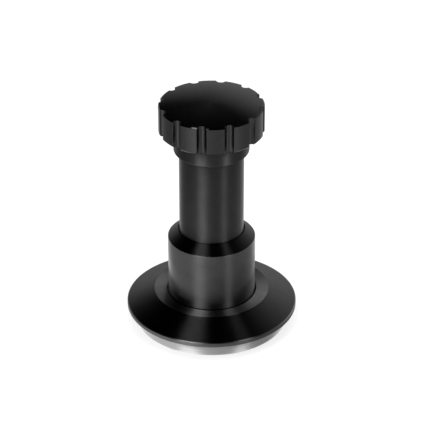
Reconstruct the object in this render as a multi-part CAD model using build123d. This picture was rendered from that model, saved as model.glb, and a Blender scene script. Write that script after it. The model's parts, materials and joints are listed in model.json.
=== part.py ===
from build123d import *
import os
from math import cos, radians, sin

# Espresso tamper with a self-levelling flange and a spring-driven impact mechanism.
# Millimetres, +Z up. The origin is the centre of the tamping face, with the base standing on Z = 0.
# The rest position is drawn: handle up against its stop, levelling flange down.

# ---- driving dimensions ------------------------------------------------------------------------

BASE_R = 26.5             # tamping base, made for 53 mm baskets
BASE_TOP = 6.8
BASE_STEP_R = 26.1        # relieved upper part of the base wall, hidden in the flange
BASE_STEP_Z = 5.4
EDGE_BEVEL = 0.3

RIPPLE_COUNT = 18         # ridges turned into the tamping face
RIPPLE_PITCH = 1.354
RIPPLE_FIRST_R = 2.23
RIPPLE_DEPTH = 0.24
CENTRE_DOT_R = 0.66

FLANGE_R = 29.73          # levelling flange
FLANGE_BOTTOM = 5.51
FLANGE_RIM_TOP = 7.14
FLANGE_CONE_R = 20.19     # where the cone meets the flat collar around the sleeve
FLANGE_TOP = 11.67
FLANGE_RECESS_R = 26.9    # underside recess that takes the base
WEB_BOTTOM = 7.0
WEB_TOP = 8.5
HUB_R = 6.0
HUB_TOP = 11.5

SLEEVE_R = 15.17          # lower sleeve, fixed to the flange
SLEEVE_GAP = 0.5          # visible ring gap between sleeve and flange
SLEEVE_EDGE_Z = 32.96
SLEEVE_TOP = 35.93
SLEEVE_LIP_R = 11.53
SLEEVE_BORE_R = 12.4
BUSH_TOP = 34.2
BUSH_BOTTOM = 27.2

TUBE_R = 11.15            # handle tube
TUBE_BORE_R = 9.6
TUBE_UPPER_BORE_R = 9.2
TUBE_BOTTOM = 25.0
TUBE_SHOULDER_Z = 54.5
TUBE_TOP = 71.0

COLLAR_R = 12.98          # collar under the knob
COLLAR_BOTTOM = 66.65
COLLAR_EDGE_ROUND = 0.6
COLLAR_TOP = 73.8

KNOB_R = 18.04            # fluted knob
KNOB_BOTTOM = 74.06
KNOB_EDGE_Z = 83.98
KNOB_TOP = 84.7
FLUTE_COUNT = 12
FLUTE_FIRST_DEG = 19.6    # from the front (-Y), towards +X
FLUTE_R = 1.6
FLUTE_DEPTH = 1.75

STEM_R = 4.0              # stem and striking parts
STEM_BORE_R = 4.05
STEM_THREAD_R = 2.5
STEM_THREAD_Z = 2.8
STEM_SHOULDER_Z = 31.05
SPIGOT_R = 3.0
ANVIL_R = 6.5
ANVIL_TOP = 34.4
PIN_R = 1.5
PIN_BOTTOM = 29.4
PIN_TOP = 43.9
PIN_BORE_R = 1.65

PLUG_TOP = 31.0           # end plug of the handle tube
PLUG_MOUTH_R = 8.8
PLUG_MOUTH_Z = 27.2
PLUG_POCKET_R = 8.4
PLUG_POCKET_INNER_R = 5.4
PLUG_POCKET_Z = 29.4

HAMMER_R = 7.9            # hammer and trip block
HAMMER_BOTTOM = 40.0
HAMMER_SEAT_Z = 49.0
HAMMER_NECK_R = 5.0
HAMMER_TOP = 51.0
HAMMER_POCKET_R = 4.2
HAMMER_POCKET_Z = 43.0
HAMMER_BORE_TOP = 50.4
SLOT_BOTTOM = 44.0
SLOT_TOP = 48.0
SLOT_WIDTH = 4.1
SLOT_END_X = -6.4
BLOCK_WIDTH = 4.0
BLOCK_INNER_X = -4.0      # both ends of the trip block when it is centred
BLOCK_OUTER_X = 7.95
TRIP_OFFSET = 1.0         # how far the spring holds the block off centre at rest
FIT = 0.05                # running clearance

PRESS_TRAVEL = 6.0        # handle stroke that trips the hammer

CAM_R = 8.0               # cam sleeve inside the handle tube
CAM_LIP_R = 7.0
CAM_LIP_BOTTOM = 38.5
CAM_LIP_TOP = 39.95
CAM_GROOVE_BOTTOM = 43.0
CAM_GROOVE_WIDTH = 4.2

SPINDLE_R = 3.0           # force adjuster
SPINDLE_BOTTOM = 57.5
SPINDLE_SHOULDER_R = 5.5
SPINDLE_SHOULDER_Z = 68.7
SPINDLE_JOURNAL_Z = 70.2
SPINDLE_JOURNAL_R = 3.5
SPINDLE_TOP = 80.5
NUT_R = 9.1
NUT_BOTTOM = 62.4
NUT_SEAT_Z = 66.4
NUT_TOP = 68.4
NUT_BOSS_R = 5.0
NUT_CUP_R = 8.0
NUT_LUG_R = 10.1
NUT_LUG_WIDTH = 3.0
NUT_LUG_BOTTOM = 64.4
KEYWAY_R = 10.2
KEYWAY_WIDTH = 3.2
KEYWAY_BOTTOM = 60.5


# ---- shared shapes -----------------------------------------------------------------------------

def turned(*outline):
    """Solid of revolution about Z from a closed outline of (radius, height) points."""
    return revolve(Plane.XZ * make_face(Polyline(*outline, close=True)), Axis.Z)


def ring(outer_r, inner_r, bottom, top, bevel=0.0):
    """Flat ring about Z whose outer edges carry a small bevel."""
    return turned(
        (inner_r, bottom),
        (outer_r - bevel, bottom),
        (outer_r, bottom + bevel),
        (outer_r, top - bevel),
        (outer_r - bevel, top),
        (inner_r, top),
    ) if bevel else turned((inner_r, bottom), (outer_r, bottom), (outer_r, top), (inner_r, top))


def rod(radius, bottom, top):
    """Plain cylinder about Z between two heights."""
    return Pos(0, 0, (bottom + top) / 2) * Cylinder(radius, top - bottom)


def coil(mean_r, wire_r, bottom, top, turns):
    """Compression spring about Z that fills the space between two seats."""
    length = top - bottom - 2 * (wire_r + FIT)
    path = Helix(pitch=length / turns, height=length, radius=mean_r)
    section = Plane(path @ 0, z_dir=path % 0) * Circle(wire_r)
    return Pos(0, 0, bottom + wire_r + FIT) * sweep(section, path=path)


def o_ring(mean_r, section_r, height):
    """Round-section sealing ring about Z."""
    return Pos(0, 0, height) * Torus(mean_r, section_r)


def block(x_min, x_max, width, bottom, top):
    """Rectangular bar along X, centred on the XZ plane."""
    centre = Pos((x_min + x_max) / 2, 0, (bottom + top) / 2)
    return centre * Box(x_max - x_min, width, top - bottom)


def flute_direction(index):
    """Angle of a knob flute about Z, measured from +X."""
    return FLUTE_FIRST_DEG - 90 + index * 360 / FLUTE_COUNT


# ---- base body: tamping base, stem, anvil, trip pin --------------------------------------------

def tamping_base():
    """Steel disc with concentric ripples in its face and a blind thread for the stem."""
    quarter = RIPPLE_PITCH / 4
    middle = RIPPLE_DEPTH / 2
    edges = [Line((0, middle), (CENTRE_DOT_R, middle))]
    edges.append(ThreePointArc(
        (CENTRE_DOT_R, middle),
        ((CENTRE_DOT_R + RIPPLE_FIRST_R - quarter) / 2, RIPPLE_DEPTH),
        (RIPPLE_FIRST_R - quarter, middle),
    ))
    for index in range(RIPPLE_COUNT):
        ridge = RIPPLE_FIRST_R + index * RIPPLE_PITCH
        inner = (ridge - quarter, middle)
        if index == RIPPLE_COUNT - 1:
            edges.append(TangentArc(inner, (ridge, 0), tangent=edges[-1] % 1))
            break
        outer = (ridge + quarter, middle)
        edges.append(ThreePointArc(inner, (ridge, 0), outer))
        valley = (ridge + 2 * quarter, RIPPLE_DEPTH)
        edges.append(ThreePointArc(outer, valley, (ridge + 3 * quarter, middle)))
    last_ridge = RIPPLE_FIRST_R + (RIPPLE_COUNT - 1) * RIPPLE_PITCH
    edges.append(Polyline(
        (last_ridge, 0),
        (BASE_R - EDGE_BEVEL, 0),
        (BASE_R, EDGE_BEVEL),
        (BASE_R, BASE_STEP_Z),
        (BASE_STEP_R, BASE_STEP_Z),
        (BASE_STEP_R, BASE_TOP - EDGE_BEVEL),
        (BASE_STEP_R - EDGE_BEVEL, BASE_TOP),
        (0, BASE_TOP),
        (0, middle),
    ))
    disc = revolve(Plane.XZ * make_face(Curve() + edges), Axis.Z)
    return disc - rod(STEM_THREAD_R, STEM_THREAD_Z, BASE_TOP)


def stem():
    """Steel stem: thread into the base, sliding shank, spigot for the anvil, socket for the pin."""
    shank = turned(
        (0, STEM_THREAD_Z),
        (STEM_THREAD_R, STEM_THREAD_Z),
        (STEM_THREAD_R, BASE_TOP),
        (STEM_R, BASE_TOP),
        (STEM_R, STEM_SHOULDER_Z),
        (SPIGOT_R, STEM_SHOULDER_Z),
        (SPIGOT_R, ANVIL_TOP),
        (0, ANVIL_TOP),
    )
    return shank - rod(PIN_R, PIN_BOTTOM, ANVIL_TOP)


def anvil_collar():
    """Hardened ring that the hammer strikes and that stops the stem pulling out of the handle."""
    return ring(ANVIL_R, SPIGOT_R, STEM_SHOULDER_Z, ANVIL_TOP, EDGE_BEVEL)


def trip_pin():
    """Hardened pin pressed into the stem, with a bevelled tip under the trip block."""
    return turned(
        (0, PIN_BOTTOM),
        (PIN_R, PIN_BOTTOM),
        (PIN_R, PIN_TOP - EDGE_BEVEL),
        (PIN_R - EDGE_BEVEL, PIN_TOP),
        (0, PIN_TOP),
    )


def reset_spring():
    """Light spring around the trip pin that draws the pin back out of the trip block."""
    return coil(mean_r=3.2, wire_r=0.3, bottom=ANVIL_TOP, top=HAMMER_POCKET_Z, turns=4.5)


# ---- leveller body: flange, sleeve, screws, bush, seal, spring ---------------------------------

SCREW_CIRCLE_R = 13.8
SCREW_R = 1.0
SCREW_HEAD_R = 1.9
SCREW_HEAD_Z = 7.05
SCREW_END_Z = 13.5
SCREW_ANGLES = (30, 150, 270)
SEAL_MEAN_R = 4.55
SEAL_SECTION_R = 0.5
SEAL_Z = 9.5


def screw_places():
    """Places of the three screws that hold the sleeve to the flange."""
    return [Rot(0, 0, angle) * Pos(SCREW_CIRCLE_R, 0, 0) for angle in SCREW_ANGLES]


def screw_body(end):
    """Countersunk screw outline, head down."""
    return turned(
        (0, SCREW_HEAD_Z),
        (SCREW_HEAD_R, SCREW_HEAD_Z),
        (SCREW_R, SCREW_HEAD_Z + SCREW_HEAD_R - SCREW_R),
        (SCREW_R, end),
        (0, end),
    )


def levelling_flange():
    """Conical flange that rests on the basket rim, with a recess for the base and a guide hub."""
    bore_r = SLEEVE_R + SLEEVE_GAP
    body = turned(
        (STEM_BORE_R, WEB_BOTTOM),
        (FLANGE_RECESS_R, WEB_BOTTOM),
        (FLANGE_RECESS_R, FLANGE_BOTTOM),
        (FLANGE_R - 0.12, FLANGE_BOTTOM),
        (FLANGE_R, FLANGE_BOTTOM + 0.12),
        (FLANGE_R, FLANGE_RIM_TOP - 0.2),
        (FLANGE_R - 0.3, FLANGE_RIM_TOP + 0.06),
        (FLANGE_CONE_R, FLANGE_TOP - 0.15),
        (FLANGE_CONE_R - 0.15, FLANGE_TOP),
        (bore_r + 0.15, FLANGE_TOP),
        (bore_r, FLANGE_TOP - 0.15),
        (bore_r, WEB_TOP),
        (HUB_R, WEB_TOP),
        (HUB_R, HUB_TOP),
        (STEM_BORE_R, HUB_TOP),
    )
    groove_r = SEAL_MEAN_R + SEAL_SECTION_R
    body -= ring(groove_r, STEM_BORE_R - 1, SEAL_Z - 0.6, SEAL_Z + 0.6)
    for place in screw_places():
        body -= place * screw_body(WEB_TOP + 1)
        body -= place * rod(SCREW_HEAD_R, WEB_BOTTOM - 1, SCREW_HEAD_Z)
    return body


def lower_sleeve():
    """Sleeve that the handle tube slides in, with a conical top and an inward lip."""
    body = turned(
        (SLEEVE_BORE_R, WEB_TOP),
        (SLEEVE_R, WEB_TOP),
        (SLEEVE_R, SLEEVE_EDGE_Z - 0.1),
        (SLEEVE_R - 0.12, SLEEVE_EDGE_Z + 0.05),
        (SLEEVE_LIP_R + 0.1, SLEEVE_TOP),
        (SLEEVE_LIP_R, SLEEVE_TOP - 0.1),
        (SLEEVE_LIP_R, BUSH_TOP),
        (SLEEVE_BORE_R, BUSH_TOP),
    )
    for place in screw_places():
        body -= place * rod(SCREW_R, WEB_TOP - 1, SCREW_END_Z + 0.2)
    return body


def sleeve_screws():
    """Three countersunk screws with hexagon sockets, driven from under the flange."""
    socket = Pos(0, 0, SCREW_HEAD_Z) * extrude(RegularPolygon(0.75, 6), 0.6)
    screw = screw_body(SCREW_END_Z) - socket
    return Compound(children=[place * screw for place in screw_places()])


def guide_bush():
    """Plain bearing between the sleeve and the handle tube."""
    return ring(SLEEVE_BORE_R, TUBE_R + FIT, BUSH_BOTTOM, BUSH_TOP)


def stem_seal():
    """Sealing ring that keeps ground coffee out of the mechanism."""
    return o_ring(SEAL_MEAN_R, SEAL_SECTION_R, SEAL_Z)


def level_spring():
    """Long light spring that pushes the flange down, away from the handle."""
    return coil(mean_r=7.0, wire_r=0.45, bottom=WEB_TOP, top=PLUG_POCKET_Z, turns=5.0)


# ---- handle body: tube, plug, cam sleeve, collar, rings, main spring ---------------------------

CIRCLIP_GROOVE_R = 10.6
CIRCLIP_R = 12.15
CIRCLIP_BOTTOM = 26.0
CIRCLIP_TOP = 27.1
FRICTION_RING_MEAN_R = 8.4
FRICTION_RING_SECTION_R = 0.75


def handle_tube():
    """Handle tube with a stepped bore, a circlip groove below and a keyway above."""
    tube = turned(
        (TUBE_BORE_R, TUBE_BOTTOM),
        (TUBE_R - EDGE_BEVEL, TUBE_BOTTOM),
        (TUBE_R, TUBE_BOTTOM + EDGE_BEVEL),
        (TUBE_R, CIRCLIP_BOTTOM),
        (CIRCLIP_GROOVE_R, CIRCLIP_BOTTOM),
        (CIRCLIP_GROOVE_R, CIRCLIP_TOP),
        (TUBE_R, CIRCLIP_TOP),
        (TUBE_R, TUBE_TOP),
        (TUBE_UPPER_BORE_R, TUBE_TOP),
        (TUBE_UPPER_BORE_R, TUBE_SHOULDER_Z),
        (TUBE_BORE_R, TUBE_SHOULDER_Z),
    )
    keyway = block(0, KEYWAY_R, KEYWAY_WIDTH, KEYWAY_BOTTOM, TUBE_TOP)
    return tube - Rot(0, 0, 90) * keyway


def tube_circlip():
    """Split retaining ring that stops the handle leaving the sleeve."""
    return ring(CIRCLIP_R, CIRCLIP_GROOVE_R, CIRCLIP_BOTTOM, CIRCLIP_TOP) - block(
        0, CIRCLIP_R + 1, 5.0, CIRCLIP_BOTTOM - 1, CIRCLIP_TOP + 1
    )


def end_plug():
    """Plug screwed into the tube: it guides the stem and seats the level spring."""
    return turned(
        (STEM_BORE_R, PLUG_MOUTH_Z),
        (PLUG_POCKET_INNER_R, PLUG_MOUTH_Z),
        (PLUG_POCKET_INNER_R, PLUG_POCKET_Z),
        (PLUG_POCKET_R, PLUG_POCKET_Z),
        (PLUG_POCKET_R, PLUG_MOUTH_Z),
        (PLUG_MOUTH_R, PLUG_MOUTH_Z),
        (PLUG_MOUTH_R, TUBE_BOTTOM),
        (TUBE_BORE_R, TUBE_BOTTOM),
        (TUBE_BORE_R, PLUG_TOP),
        (STEM_BORE_R, PLUG_TOP),
    )


def cam_sleeve():
    """Liner that guides the hammer; a ramp in its +X groove centres the rising trip block."""
    liner = turned(
        (CAM_R, PLUG_TOP),
        (TUBE_BORE_R, PLUG_TOP),
        (TUBE_BORE_R, TUBE_SHOULDER_Z),
        (CAM_R, TUBE_SHOULDER_Z),
        (CAM_R, CAM_LIP_TOP),
        (CAM_LIP_R, CAM_LIP_TOP),
        (CAM_LIP_R, CAM_LIP_BOTTOM),
        (CAM_R, CAM_LIP_BOTTOM),
    )
    wall_x = BLOCK_OUTER_X + TRIP_OFFSET + FIT
    ramp_z = SLOT_TOP - FIT
    rise = TUBE_SHOULDER_Z - ramp_z
    groove = make_face(Polyline(
        (CAM_R - 1.5, CAM_GROOVE_BOTTOM),
        (wall_x, CAM_GROOVE_BOTTOM),
        (wall_x, ramp_z),
        (wall_x - rise * TRIP_OFFSET / PRESS_TRAVEL, TUBE_SHOULDER_Z),
        (CAM_R - 1.5, TUBE_SHOULDER_Z),
        close=True,
    ))
    return liner - extrude(Plane.XZ * groove, CAM_GROOVE_WIDTH / 2, both=True)


def handle_collar():
    """Cap screwed on the tube, with a rounded lower edge; it carries the knob's bearing."""
    round_start = (COLLAR_R, COLLAR_BOTTOM + COLLAR_EDGE_ROUND)
    round_end = (COLLAR_R - COLLAR_EDGE_ROUND, COLLAR_BOTTOM)
    profile = Curve() + [
        TangentArc(round_start, round_end, tangent=(0, -1)),
        Polyline(
            round_end,
            (TUBE_R, COLLAR_BOTTOM),
            (TUBE_R, TUBE_TOP),
            (SPINDLE_JOURNAL_R + FIT, TUBE_TOP),
            (SPINDLE_JOURNAL_R + FIT, COLLAR_TOP),
            (COLLAR_R - EDGE_BEVEL, COLLAR_TOP),
            (COLLAR_R, COLLAR_TOP - EDGE_BEVEL),
            round_start,
        ),
    ]
    cap = revolve(Plane.XZ * make_face(profile), Axis.Z)
    groove_r = FRICTION_RING_SECTION_R + FIT
    return cap - ring(
        FRICTION_RING_MEAN_R + groove_r,
        FRICTION_RING_MEAN_R - groove_r,
        KNOB_BOTTOM - 2 * FRICTION_RING_SECTION_R - FIT,
        COLLAR_TOP + 1,
    )


def knob_friction_ring():
    """Rubber ring squeezed under the knob so that its setting doesn't creep."""
    height = KNOB_BOTTOM - FRICTION_RING_SECTION_R - FIT / 2
    return o_ring(FRICTION_RING_MEAN_R, FRICTION_RING_SECTION_R, height)


def thrust_washer():
    """Bearing washer between the spindle's shoulder and the collar."""
    return ring(6.5, SPINDLE_JOURNAL_R + FIT, SPINDLE_JOURNAL_Z + FIT, TUBE_TOP - FIT)


def main_spring():
    """Stiff spring that drives the hammer."""
    return coil(mean_r=6.7, wire_r=0.9, bottom=HAMMER_SEAT_Z, top=NUT_SEAT_Z, turns=3.5)


# ---- knob body: knob, spindle, grub screw ------------------------------------------------------

GRUB_R = 1.25
GRUB_LENGTH = 6.0
GRUB_Z = 78.0
GRUB_FLUTE = 6            # the flute at the back that hides the grub screw's hole


def grub_axis():
    """Place of the radial grub screw, with local +Z pointing out of the knob."""
    return Pos(0, 0, GRUB_Z) * Rot(0, 0, flute_direction(GRUB_FLUTE)) * Rot(0, 90, 0)


def knob():
    """Domed knob with twelve round-bottomed flutes and a blind bore for the spindle."""
    flute = Pos(KNOB_R - FLUTE_DEPTH + FLUTE_R, 0) * Circle(FLUTE_R)
    outline = Circle(KNOB_R)
    for index in range(FLUTE_COUNT):
        outline -= Rot(0, 0, flute_direction(index)) * flute
    corners = outline.vertices().filter_by(lambda v: Vector(v.X, v.Y).length > KNOB_R - 0.2)
    outline = fillet(corners, 0.2)
    fluted = Pos(0, 0, KNOB_BOTTOM) * extrude(outline, KNOB_TOP - KNOB_BOTTOM)
    edge_r = KNOB_R - 0.35
    dome = Curve() + [
        Polyline(
            (0, KNOB_BOTTOM),
            (edge_r - 0.15, KNOB_BOTTOM),
            (KNOB_R, KNOB_BOTTOM + 0.5),
            (KNOB_R, KNOB_EDGE_Z - 0.35),
            (edge_r, KNOB_EDGE_Z),
        ),
        ThreePointArc(
            (edge_r, KNOB_EDGE_Z),
            (edge_r / 2, KNOB_EDGE_Z + (KNOB_TOP - KNOB_EDGE_Z) * 0.75),
            (0, KNOB_TOP),
        ),
        Line((0, KNOB_TOP), (0, KNOB_BOTTOM)),
    ]
    body = fluted & revolve(Plane.XZ * make_face(dome), Axis.Z)
    body -= rod(SPINDLE_R, KNOB_BOTTOM, SPINDLE_TOP + 0.5)
    return body - grub_axis() * rod(GRUB_R, 0, KNOB_R)


def adjuster_spindle():
    """Left-hand threaded spindle: shoulder below the collar, journal through it, end in the knob."""
    shaft = turned(
        (0, SPINDLE_BOTTOM),
        (SPINDLE_R - EDGE_BEVEL, SPINDLE_BOTTOM),
        (SPINDLE_R, SPINDLE_BOTTOM + EDGE_BEVEL),
        (SPINDLE_R, SPINDLE_SHOULDER_Z),
        (SPINDLE_SHOULDER_R, SPINDLE_SHOULDER_Z),
        (SPINDLE_SHOULDER_R, SPINDLE_JOURNAL_Z),
        (SPINDLE_JOURNAL_R, SPINDLE_JOURNAL_Z),
        (SPINDLE_JOURNAL_R, KNOB_BOTTOM - FIT),
        (SPINDLE_R, KNOB_BOTTOM - FIT),
        (SPINDLE_R, SPINDLE_TOP),
        (0, SPINDLE_TOP),
    )
    return shaft - grub_axis() * Pos(0, 0, SPINDLE_R) * Box(2 * SPINDLE_R, 2 * SPINDLE_R, 1.0)


def knob_grub_screw():
    """Grub screw with a hexagon socket that locks the knob to a flat on the spindle."""
    seat = SPINDLE_R - 0.5
    socket = Pos(0, 0, seat + GRUB_LENGTH - 1.5) * extrude(RegularPolygon(0.75, 6), 1.5)
    return grub_axis() * (rod(GRUB_R, seat, seat + GRUB_LENGTH) - socket)


# ---- preload nut -------------------------------------------------------------------------------

def preload_nut():
    """Cupped nut on the spindle; its lug rides in the tube's keyway, so it can only slide."""
    cup = turned(
        (SPINDLE_R + FIT, NUT_BOTTOM),
        (NUT_BOSS_R, NUT_BOTTOM),
        (NUT_BOSS_R, NUT_SEAT_Z),
        (NUT_CUP_R, NUT_SEAT_Z),
        (NUT_CUP_R, NUT_BOTTOM),
        (NUT_R, NUT_BOTTOM),
        (NUT_R, NUT_TOP),
        (SPINDLE_R + FIT, NUT_TOP),
    )
    lug = block(NUT_R - 0.5, NUT_LUG_R, NUT_LUG_WIDTH, NUT_LUG_BOTTOM, NUT_TOP)
    return cup + Rot(0, 0, 90) * lug


# ---- hammer and trip block ---------------------------------------------------------------------

def hammer():
    """Steel hammer with a cross slot for the trip block and a bore that the pin drops into."""
    body = turned(
        (HAMMER_POCKET_R, HAMMER_BOTTOM),
        (HAMMER_R - EDGE_BEVEL, HAMMER_BOTTOM),
        (HAMMER_R, HAMMER_BOTTOM + EDGE_BEVEL),
        (HAMMER_R, HAMMER_SEAT_Z - EDGE_BEVEL),
        (HAMMER_R - EDGE_BEVEL, HAMMER_SEAT_Z),
        (HAMMER_NECK_R, HAMMER_SEAT_Z),
        (HAMMER_NECK_R, HAMMER_TOP),
        (0, HAMMER_TOP),
        (0, HAMMER_POCKET_Z),
        (HAMMER_POCKET_R, HAMMER_POCKET_Z),
    )
    body -= rod(PIN_BORE_R, HAMMER_POCKET_Z, HAMMER_BORE_TOP)
    return body - block(SLOT_END_X, HAMMER_R + 1, SLOT_WIDTH, SLOT_BOTTOM, SLOT_TOP)


def trip_spring():
    """Small spring that pushes the trip block off centre."""
    spring = coil(mean_r=1.2, wire_r=0.2, bottom=SLOT_END_X, top=BLOCK_INNER_X + TRIP_OFFSET, turns=4.0)
    return Pos(0, 0, (SLOT_BOTTOM + SLOT_TOP) / 2) * Rot(0, 90, 0) * spring


def trip_block():
    """Sliding block whose hole lets the trip pin through only when the ramp has centred it."""
    bar = block(BLOCK_INNER_X, BLOCK_OUTER_X, BLOCK_WIDTH, SLOT_BOTTOM + FIT, SLOT_TOP - FIT)
    return Pos(TRIP_OFFSET, 0, 0) * (bar - rod(PIN_BORE_R, SLOT_BOTTOM, SLOT_TOP))


# ---- write every sub-part ----------------------------------------------------------------------

SUBPARTS = (
    tamping_base,
    stem,
    anvil_collar,
    trip_pin,
    reset_spring,
    levelling_flange,
    lower_sleeve,
    sleeve_screws,
    guide_bush,
    stem_seal,
    level_spring,
    handle_tube,
    tube_circlip,
    end_plug,
    cam_sleeve,
    handle_collar,
    knob_friction_ring,
    thrust_washer,
    main_spring,
    knob,
    adjuster_spindle,
    knob_grub_screw,
    preload_nut,
    hammer,
    trip_spring,
    trip_block,
)

os.makedirs("parts", exist_ok=True)
for subpart in SUBPARTS:
    export_step(subpart(), f"parts/{subpart.__name__}.step")
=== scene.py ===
import json
import math

import bpy
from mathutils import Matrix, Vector


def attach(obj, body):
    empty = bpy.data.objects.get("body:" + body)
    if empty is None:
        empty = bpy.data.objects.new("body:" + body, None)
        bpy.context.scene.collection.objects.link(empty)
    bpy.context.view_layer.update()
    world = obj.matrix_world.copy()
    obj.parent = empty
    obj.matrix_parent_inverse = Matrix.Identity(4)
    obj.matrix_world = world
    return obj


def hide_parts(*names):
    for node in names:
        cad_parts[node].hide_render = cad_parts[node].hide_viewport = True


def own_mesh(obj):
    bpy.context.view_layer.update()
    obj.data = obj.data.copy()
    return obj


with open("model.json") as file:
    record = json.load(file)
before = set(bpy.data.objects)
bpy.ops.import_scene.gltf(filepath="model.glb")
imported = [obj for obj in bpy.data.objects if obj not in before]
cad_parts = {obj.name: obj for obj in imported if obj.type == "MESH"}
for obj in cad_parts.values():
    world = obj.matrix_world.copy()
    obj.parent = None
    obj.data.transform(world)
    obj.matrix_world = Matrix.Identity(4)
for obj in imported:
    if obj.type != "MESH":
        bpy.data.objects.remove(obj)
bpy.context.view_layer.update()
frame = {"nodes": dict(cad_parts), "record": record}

MM = 0.001


# ---- camera ------------------------------------------------------------------------------------

CAMERA_ELEVATION = math.radians(30.2)
CAMERA_DISTANCE = 0.788
CAMERA_TARGET = Vector((0.0012, 0.0, 0.0408))
CAMERA_LENS = 190.5
CAMERA_SENSOR = 36.0


def aim(obj, target):
    """Turns an object so that its -Z axis points at the target."""
    obj.rotation_euler = (Vector(target) - obj.location).to_track_quat("-Z", "Y").to_euler()


def add_camera():
    data = bpy.data.cameras.new("camera")
    data.lens = CAMERA_LENS
    data.sensor_width = CAMERA_SENSOR
    camera = bpy.data.objects.new("camera", data)
    bpy.context.scene.collection.objects.link(camera)
    back = Vector((0.0, -math.cos(CAMERA_ELEVATION), math.sin(CAMERA_ELEVATION)))
    camera.location = CAMERA_TARGET + CAMERA_DISTANCE * back
    aim(camera, CAMERA_TARGET)
    bpy.context.scene.camera = camera


# ---- node helpers ------------------------------------------------------------------------------

class Nodes:
    """Short calls that add nodes to one node tree."""

    def __init__(self, tree):
        self.tree = tree

    def node(self, kind, inputs=None, **settings):
        made = self.tree.nodes.new(kind)
        for key, value in settings.items():
            setattr(made, key, value)
        for key, value in (inputs or {}).items():
            self.put(made.inputs[key], value)
        return made

    def put(self, socket, value):
        """Links a socket, or sets its value."""
        if isinstance(value, bpy.types.NodeSocket):
            self.tree.links.new(value, socket)
        else:
            socket.default_value = value

    def math(self, operation, *values):
        return self.node("ShaderNodeMath", dict(enumerate(values)), operation=operation).outputs[0]

    def remap(self, value, low, high, to_low, to_high, kind="LINEAR"):
        names = ("Value", "From Min", "From Max", "To Min", "To Max")
        inputs = dict(zip(names, (value, low, high, to_low, to_high)))
        return self.node("ShaderNodeMapRange", inputs, interpolation_type=kind).outputs["Result"]

    def above(self, value, low, high):
        """0 below low, 1 above high, in millimetres."""
        return self.remap(value, low * MM, high * MM, 0.0, 1.0)

    def below(self, value, low, high):
        """1 below low, 0 above high, in millimetres."""
        return self.remap(value, low * MM, high * MM, 1.0, 0.0)

    def mix(self, share, first, second):
        """first where share is 0, second where it is 1."""
        return self.remap(share, 0.0, 1.0, first, second)

    def noise(self, vector, scale, detail=2.0, roughness=0.5):
        inputs = {"Vector": vector, "Scale": scale, "Detail": detail, "Roughness": roughness}
        return self.node("ShaderNodeTexNoise", inputs).outputs["Fac"]

    def grey(self, value):
        return self.node("ShaderNodeCombineColor", dict.fromkeys(range(3), value)).outputs[0]

    def ramp(self, value, *stops):
        """Colour ramp between stops (position, colour)."""
        made = self.node("ShaderNodeValToRGB", {"Fac": value})
        for element, (position, colour) in zip(made.color_ramp.elements, stops):
            element.position = position
            element.color = (*colour, 1.0)
        return made.outputs["Color"]

    def place(self, output="Object"):
        return self.node("ShaderNodeTexCoord").outputs[output]

    def split(self, vector):
        return self.node("ShaderNodeSeparateXYZ", {"Vector": vector}).outputs


class Shader(Nodes):
    """A new material."""

    def __init__(self, name):
        self.material = bpy.data.materials.new(name)
        self.material.use_nodes = True
        super().__init__(self.material.node_tree)
        self.bsdf = self.tree.nodes["Principled BSDF"]

    def set(self, **values):
        for key, value in values.items():
            self.put(self.bsdf.inputs[key.replace("_", " ")], value)

    def lathe_coordinates(self):
        """Position, distance from the axis, and a vector that is the same all the way round."""
        place = self.place()
        x, y, z = self.split(place)
        flat = self.node("ShaderNodeCombineXYZ", {"X": x, "Y": y}).outputs[0]
        length = self.node("ShaderNodeVectorMath", {0: flat}, operation="LENGTH")
        radius = length.outputs["Value"]
        turned = self.node("ShaderNodeCombineXYZ", {"X": radius, "Z": z}).outputs[0]
        return place, radius, turned

    def bump(self, height, strength, distance):
        inputs = {"Height": height, "Strength": strength, "Distance": distance}
        self.set(Normal=self.node("ShaderNodeBump", inputs).outputs[0])

    def turned_grooves(self, lines, strength):
        """Fine grooves left by turning, which also spread the shine across their direction."""
        self.bump(lines, strength, 0.01 * MM)
        around = self.node("ShaderNodeTangent", direction_type="RADIAL", axis="Z").outputs[0]
        self.set(Tangent=around, Anisotropic_Rotation=0.25)


# ---- materials ---------------------------------------------------------------------------------

WALL_EDGE_TINT = 0.6       # how much of the shine is left where a surface turns away from the view
FINE_EDGE_TINT = 0.78
OXIDE_ROUGHNESS = 0.16     # the hard clear layer on top of the dyed one
OXIDE_IOR = 1.38


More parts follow.
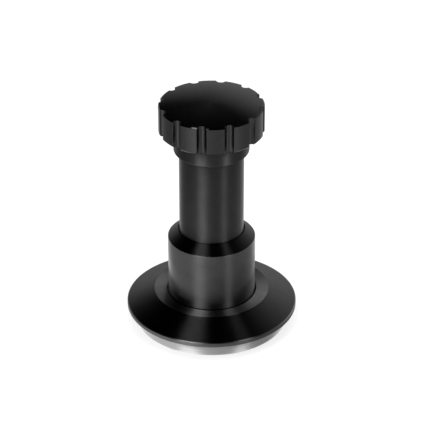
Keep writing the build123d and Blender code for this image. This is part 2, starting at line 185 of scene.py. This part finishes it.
def black_anodised(name, level, roughness, anisotropy=1.0, top=None, oxide=0.0, fine_finish_and_shade=None):
    """Turned and black anodised aluminium.

    level is the strength of the sheen. top is (z from, z to, level there): painted shade, the
    sheen changing along the height of a long piece so that it is darker up under the knob. oxide
    is the weight of the clear layer. The last argument is (mask, level, roughness) for part of the
    piece, without that
    layer: a finer finish on some pieces, and painted shade down in the gaps between parts on
    others.
    """
    s = Shader(name)
    place, radius, turned = s.lathe_coordinates()
    lines = s.noise(turned, 9000.0, 3.0, 0.6)
    cloud = s.noise(place, 260.0, 3.0)
    tint = (WALL_EDGE_TINT, WALL_EDGE_TINT, WALL_EDGE_TINT, 1.0)
    # painted shade: the sheen changes with height, darker towards z to, under the knob's shade
    if top:
        z_from, z_to, shaded_top_level = top
        level = s.remap(s.split(place)[2], z_from * MM, z_to * MM, level, shaded_top_level)
    # zones with a finer finish, and zones of painted shade down in the gaps between parts
    if fine_finish_and_shade:
        mask, finish_and_shade_level, fine_roughness = fine_finish_and_shade
        share = mask(s, place, radius)
        level = s.mix(share, level, finish_and_shade_level)
        roughness = s.mix(share, roughness, fine_roughness)
        tint = s.ramp(share, (0.0, (WALL_EDGE_TINT,) * 3), (1.0, (FINE_EDGE_TINT,) * 3))
        if oxide:
            oxide = s.mix(share, oxide, 0.0)
    colour = s.grey(s.math("MULTIPLY", level, s.remap(cloud, 0.3, 0.7, 0.93, 1.07)))
    varied = s.math("ADD", roughness, s.remap(lines, 0.3, 0.7, -0.03, 0.03))
    s.set(Base_Color=colour, Metallic=1.0, Anisotropic=anisotropy, Roughness=varied)
    s.set(Specular_Tint=tint)
    s.set(Coat_Weight=oxide, Coat_Roughness=OXIDE_ROUGHNESS, Coat_IOR=OXIDE_IOR)
    s.turned_grooves(lines, 0.10)
    return s.material


def upward_face(s, place, radius):
    """1 on faces that look upwards."""
    up = s.split(s.place("Normal"))[2]
    return s.remap(up, 0.35, 0.5, 0.0, 1.0)


def flange_cone(s, place, radius):
    """1 on the cone, 0 on the flat collar, the bevelled edge and the rim of the flange."""
    return s.math("MULTIPLY", s.above(radius, 19.95, 20.05), s.below(radius, 29.4, 29.46))


def tube_gap_shade(s, place, radius):
    """1 on the part of the tube that never leaves the sleeve, darkened there as painted shade seen
    down the gap at the sleeve's lip.
    """
    return s.below(s.split(place)[2], 35.8, 35.95)


def sleeve_cone_and_gap_shade(s, place, radius):
    """1 on the conical top of the sleeve, a finer finish, and down in the ring gap of the flange,
    where the darker sheen is painted shade.
    """
    cone = s.below(radius, 15.09, 15.16)
    # painted shade: the sleeve darkened where it goes down into the flange's ring gap
    gap = s.below(s.split(place)[2], 11.6, 11.75)
    return s.math("MAXIMUM", cone, gap)


def polished_steel():
    s = Shader("polished_steel")
    turned = s.lathe_coordinates()[2]
    lines = s.noise(turned, 7000.0, 4.0, 0.65)
    bands = s.noise(turned, 900.0, 2.0)
    s.set(Base_Color=s.ramp(bands, (0.3, (0.78, 0.775, 0.77)), (0.7, (0.88, 0.875, 0.87))))
    s.set(Metallic=1.0, Anisotropic=1.0, Roughness=s.remap(lines, 0.25, 0.75, 0.46, 0.54))
    s.turned_grooves(lines, 0.2)
    return s.material


def plain_metal(name, dark, light, roughness):
    """Ground or drawn metal: colour and roughness vary with fine marks."""
    s = Shader(name)
    place, _, turned = s.lathe_coordinates()
    marks = s.noise(turned, 5000.0, 3.0, 0.6)
    cloud = s.noise(place, 700.0, 3.0)
    s.set(Base_Color=s.ramp(cloud, (0.3, dark), (0.7, light)), Metallic=1.0)
    s.set(Roughness=s.remap(marks, 0.3, 0.7, roughness - 0.06, roughness + 0.06))
    return s.material


def plain_polymer(name, dark, light, roughness, grain):
    """Rubber or machined plastic with a fine matte grain."""
    s = Shader(name)
    speckle = s.noise(s.place(), grain, 4.0, 0.7)
    s.set(Base_Color=s.ramp(speckle, (0.3, dark), (0.7, light)), Metallic=0.0)
    s.set(Roughness=s.remap(speckle, 0.3, 0.7, roughness - 0.08, roughness + 0.08))
    s.bump(speckle, 0.3, 0.02 * MM)
    return s.material


# the finish of each material slot
MATERIALS = {
    "black_anodised": black_anodised("black_anodised", 0.10, 0.46),
    "polished_steel": polished_steel(),
    "hardened_steel": plain_metal("hardened_steel", (0.30, 0.30, 0.31), (0.40, 0.40, 0.41), 0.3),
    "spring_steel": plain_metal("spring_steel", (0.42, 0.41, 0.39), (0.52, 0.51, 0.49), 0.28),
    "bronze": plain_metal("bronze", (0.50, 0.31, 0.12), (0.62, 0.41, 0.18), 0.3),
    "acetal": plain_polymer("acetal", (0.012,) * 3, (0.02,) * 3, 0.45, 3000.0),
    "seal_rubber": plain_polymer("seal_rubber", (0.01,) * 3, (0.022, 0.021, 0.02), 0.7, 5000.0),
}
# nodes that have the slot's finish with zones of their own; on the tube and sleeve part of the
# sheen is painted shade
NODE_MATERIALS = {
    "knob": black_anodised(
        "anodised_knob", 0.105, 0.46, 0.85, oxide=0.3, fine_finish_and_shade=(upward_face, 0.038, 0.14)
    ),
    # painted shade on the tube: the sheen falls towards the knob above, and is darkened on the
    # part inside the sleeve
    "handle_tube": black_anodised(
        "anodised_tube", 0.112, 0.44, 0.95, (36, 66, 0.078), oxide=0.3, fine_finish_and_shade=(tube_gap_shade, 0.01, 0.4)
    ),
    "handle_collar": black_anodised("anodised_collar", 0.13, 0.46),
    # the sleeve's sheen is set brighter than the tube's: in part a coarser finish, in part painted
    # light, as it lies further from the knob's shade
    "lower_sleeve": black_anodised(
        "anodised_sleeve", 0.175, 0.33, 0.97, oxide=0.4, fine_finish_and_shade=(sleeve_cone_and_gap_shade, 0.018, 0.38)
    ),
    "levelling_flange": black_anodised(
        "anodised_flange", 0.16, 0.36, fine_finish_and_shade=(flange_cone, 0.026, 0.31)
    ),
}


def dress_nodes():
    """Gives every CAD node the material of its slot."""
    for part in frame["record"]["subparts"]:
        node = frame["nodes"][part["node"]]
        material = NODE_MATERIALS.get(part["node"], MATERIALS[part["material_slot"]])
        node.data.materials.clear()
        node.data.materials.append(material)


def add_mesh(name, verts, faces, material):
    """A new mesh object."""
    data = bpy.data.meshes.new(name)
    data.from_pydata(verts, [], faces)
    data.validate()
    data.materials.append(material)
    piece = bpy.data.objects.new(name, data)
    bpy.context.scene.collection.objects.link(piece)
    return piece


# ---- springs -----------------------------------------------------------------------------------

WIRE_SIDES = 14
STEPS_PER_TURN = 40
CLOSED_TURN = 0.75         # turns from each end that lie flat
RISING_TURN = 0.5          # turns from there to the full pitch


class Spring:
    """Compression spring with closed, ground ends. Lengths in millimetres; axis is +Z or +X."""

    def __init__(self, node, mean_r, wire_r, start, end, turns, axis="Z", height=0.0):
        self.node, self.name = node, f"{node}_coil"
        self.mean_r, self.wire_r = mean_r, wire_r
        self.start, self.end, self.turns = start, end, turns
        self.axis, self.height = axis, height
        self.path = self.wire_path()

    def wire_path(self):
        """Points (angle, distance along the axis) of the wire's centre."""
        count = int(self.turns * STEPS_PER_TURN)
        seat = 0.55 * self.wire_r
        closed = 2.04 * self.wire_r / STEPS_PER_TURN
        rises = []
        for step in range(count):
            turn = (step + 0.5) / STEPS_PER_TURN
            inside = min(turn, self.turns - turn)
            rises.append(min(max((inside - CLOSED_TURN) / RISING_TURN, 0.0), 1.0))
        free = self.end - self.start - 2 * seat - closed * count
        share = free / sum(rises)
        points = [(0.0, self.start + seat)]
        for step, rise in enumerate(rises):
            angle = 2 * math.pi * (step + 1) / STEPS_PER_TURN
            points.append((angle, points[-1][1] + closed + share * rise))
        return points

    def put(self, radius, angle, along):
        """A point in metres, from its distance from the axis, angle and place along the axis."""
        side = (radius * math.cos(angle), radius * math.sin(angle))
        if self.axis == "X":
            return (along * MM, side[0] * MM, (self.height + side[1]) * MM)
        return (side[0] * MM, side[1] * MM, along * MM)

    def mesh_piece(self, name, low, high):
        """The stretch of the wire whose centre lies between two distances along the axis."""
        points = [point for point in self.path if low <= point[1] <= high]
        verts, faces = [], []
        for angle, along in points:
            for side in range(WIRE_SIDES):
                turn = 2 * math.pi * side / WIRE_SIDES
                level = along + self.wire_r * math.sin(turn)
                level = min(max(level, self.start), self.end)
                verts.append(self.put(self.mean_r + self.wire_r * math.cos(turn), angle, level))
        for ring in range(len(points) - 1):
            for side in range(WIRE_SIDES):
                a = ring * WIRE_SIDES + side
                b = ring * WIRE_SIDES + (side + 1) % WIRE_SIDES
                faces.append((a, a + WIRE_SIDES, b + WIRE_SIDES, b))
        faces.append(tuple(range(WIRE_SIDES)))
        faces.append(tuple(reversed(range(len(verts) - WIRE_SIDES, len(verts)))))
        piece = add_mesh(name, verts, faces, MATERIALS["spring_steel"])
        for polygon in piece.data.polygons:
            polygon.use_smooth = len(polygon.vertices) == 4
        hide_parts(self.node)
        return piece

    def whole(self, body):
        """One piece for the whole spring."""
        piece = self.mesh_piece(self.name, self.start, self.end)
        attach(piece, body)
        return piece

    def halves(self, joint_level, lower, upper):
        """Two pieces split at joint_level, each attached to its own body; each is (body, joint,
        travel), of which joint and travel are not used.
        """
        for label, (body, joint, travel), low, high, anchor in (
            ("lower", lower, self.start, joint_level, self.start),
            ("upper", upper, joint_level, self.end, self.end),
        ):
            piece = self.mesh_piece(f"{self.name}_{label}", low, high)
            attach(piece, body)
            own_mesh(piece)


def add_springs():
    level = Spring("level_spring", mean_r=7.0, wire_r=0.45, start=8.5, end=29.4, turns=6.2)
    level.halves(20.4, ("leveller", "level_slide", 9.0), ("handle", "handle_press", 6.0))

    main = Spring("main_spring", mean_r=6.7, wire_r=0.9, start=49.0, end=66.4, turns=4.2)
    main.halves(59.0, ("striker", "handle_press", 6.0), ("preload", "knob_turn", 3.0))

    reset = Spring("reset_spring", mean_r=3.2, wire_r=0.3, start=34.4, end=43.0, turns=7.0)
    reset.whole("base")

    trip = Spring("trip_spring", 1.2, 0.2, start=-6.4, end=-3.0, turns=5.0, axis="X", height=46.0)
    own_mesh(trip.whole("striker"))


# ---- floor, world and lights -------------------------------------------------------------------

FLOOR_HALF = 6.0
FLOOR_GLOW = 0.76          # with the lights' share the floor is only just white
GLOW_R = 0.05
GLOW_Z = -0.0005
GLOW_SIDES = 64
LIGHT_TARGET = Vector((0, 0, 0.04))


def add_floor():
    """Pale floor, seen by the camera but not in the metal, and clear from below."""
    s = Shader("floor")
    grain = s.noise(s.place(), 40.0, 2.0)
    s.set(Base_Color=s.ramp(grain, (0.0, (0.23,) * 3), (1.0, (0.25,) * 3)), Roughness=0.9)
    s.set(Emission_Color=(1, 1, 1, 1), Emission_Strength=FLOOR_GLOW)
    under = s.node("ShaderNodeNewGeometry").outputs["Backfacing"]
    clear = s.node("ShaderNodeBsdfTransparent").outputs[0]
    mixed = s.node("ShaderNodeMixShader", {0: under, 1: s.bsdf.outputs[0], 2: clear}).outputs[0]
    s.put(s.tree.nodes["Material Output"].inputs["Surface"], mixed)
    signs = ((-1, -1), (1, -1), (1, 1), (-1, 1))
    corners = [(x * FLOOR_HALF, y * FLOOR_HALF, 0) for x, y in signs]
    floor = add_mesh("floor", corners, [(0, 1, 2, 3)], s.material)
    floor.visible_glossy = False


def add_table_glow():
    """Glowing disc that only shows up as the white table mirrored low down in the metal."""
    s = Shader("table_glow")
    strength = s.remap(s.split(s.place())[0], -0.02, 0.02, 1.5, 0.5)
    s.set(Base_Color=(0, 0, 0, 1), Emission_Color=(1, 1, 1, 1), Emission_Strength=strength)
    turns = [2 * math.pi * step / GLOW_SIDES for step in range(GLOW_SIDES)]
    rim = [(GLOW_R * math.cos(turn), GLOW_R * math.sin(turn), GLOW_Z) for turn in turns]
    glow = add_mesh("table_glow", rim, [tuple(range(GLOW_SIDES))], s.material)
    glow.visible_camera = False
    glow.visible_diffuse = False
    glow.visible_shadow = False
    glow.visible_transmission = False


def add_world():
    """Grey table below, a bright band above the horizon behind, and a dark ceiling."""
    world = bpy.data.worlds.new("studio")
    bpy.context.scene.world = world
    world.use_nodes = True
    w = Nodes(world.node_tree)
    x, y, z = w.split(w.place("Generated"))

    near = w.remap(z, -0.64, -0.34, 1.0, 0.0, "SMOOTHSTEP")
    behind = w.remap(y, 0.3, 0.8, 0.0, 1.0, "SMOOTHSTEP")
    table_level = w.remap(y, 0.1, 0.6, 0.85, 1.0)
    table = w.math("MULTIPLY", table_level, w.math("MAXIMUM", near, behind))

    wall_level = w.remap(y, 0.05, 0.75, 0.04, 1.3)
    wall = w.math("MULTIPLY", wall_level, w.remap(x, 0.0, 0.7, 1.0, 1.35))
    tilted = w.math("SUBTRACT", z, w.math("MULTIPLY", w.math("MAXIMUM", x, 0.0), 1.3))
    ceiling_edge = w.remap(tilted, 0.24, 0.48, 1.0, 0.0, "SMOOTHSTEP")
    band = w.math("MULTIPLY", wall, ceiling_edge)

    above = w.remap(z, -0.06, 0.06, 0.0, 1.0, "SMOOTHSTEP")
    lower_part = w.math("MULTIPLY", table, w.math("SUBTRACT", 1.0, above))
    level = w.math("ADD", lower_part, w.math("MULTIPLY", band, above))
    background = world.node_tree.nodes["Background"].inputs
    w.put(background["Color"], w.grey(level))
    w.put(background["Strength"], 1.0)


def add_area(name, azimuth, elevation, distance, size, power, glossy=True):
    """Area light facing the tamper; azimuth 0 is behind the camera, positive towards +X."""
    data = bpy.data.lights.new(name, "AREA")
    data.shape = "RECTANGLE"
    data.size, data.size_y = size
    data.energy = power
    light = bpy.data.objects.new(name, data)
    bpy.context.scene.collection.objects.link(light)
    a, e = math.radians(azimuth), math.radians(elevation)
    away = Vector((math.cos(e) * math.sin(a), -math.cos(e) * math.cos(a), math.sin(e)))
    light.location = LIGHT_TARGET + distance * away
    aim(light, LIGHT_TARGET)
    light.visible_glossy = glossy


def add_lights():
    add_area("softbox_left", -35, 46, distance=1.0, size=(0.40, 0.75), power=5.2)
    add_area("softbox_right", 47, 36, distance=1.0, size=(0.25, 0.5), power=1.7)
    add_area("overhead", 0, 88, distance=1.6, size=(1.6, 1.6), power=30, glossy=False)


add_camera()
add_floor()
add_table_glow()
add_world()
add_lights()
dress_nodes()
add_springs()
bpy.context.scene.view_settings.view_transform = "Standard"
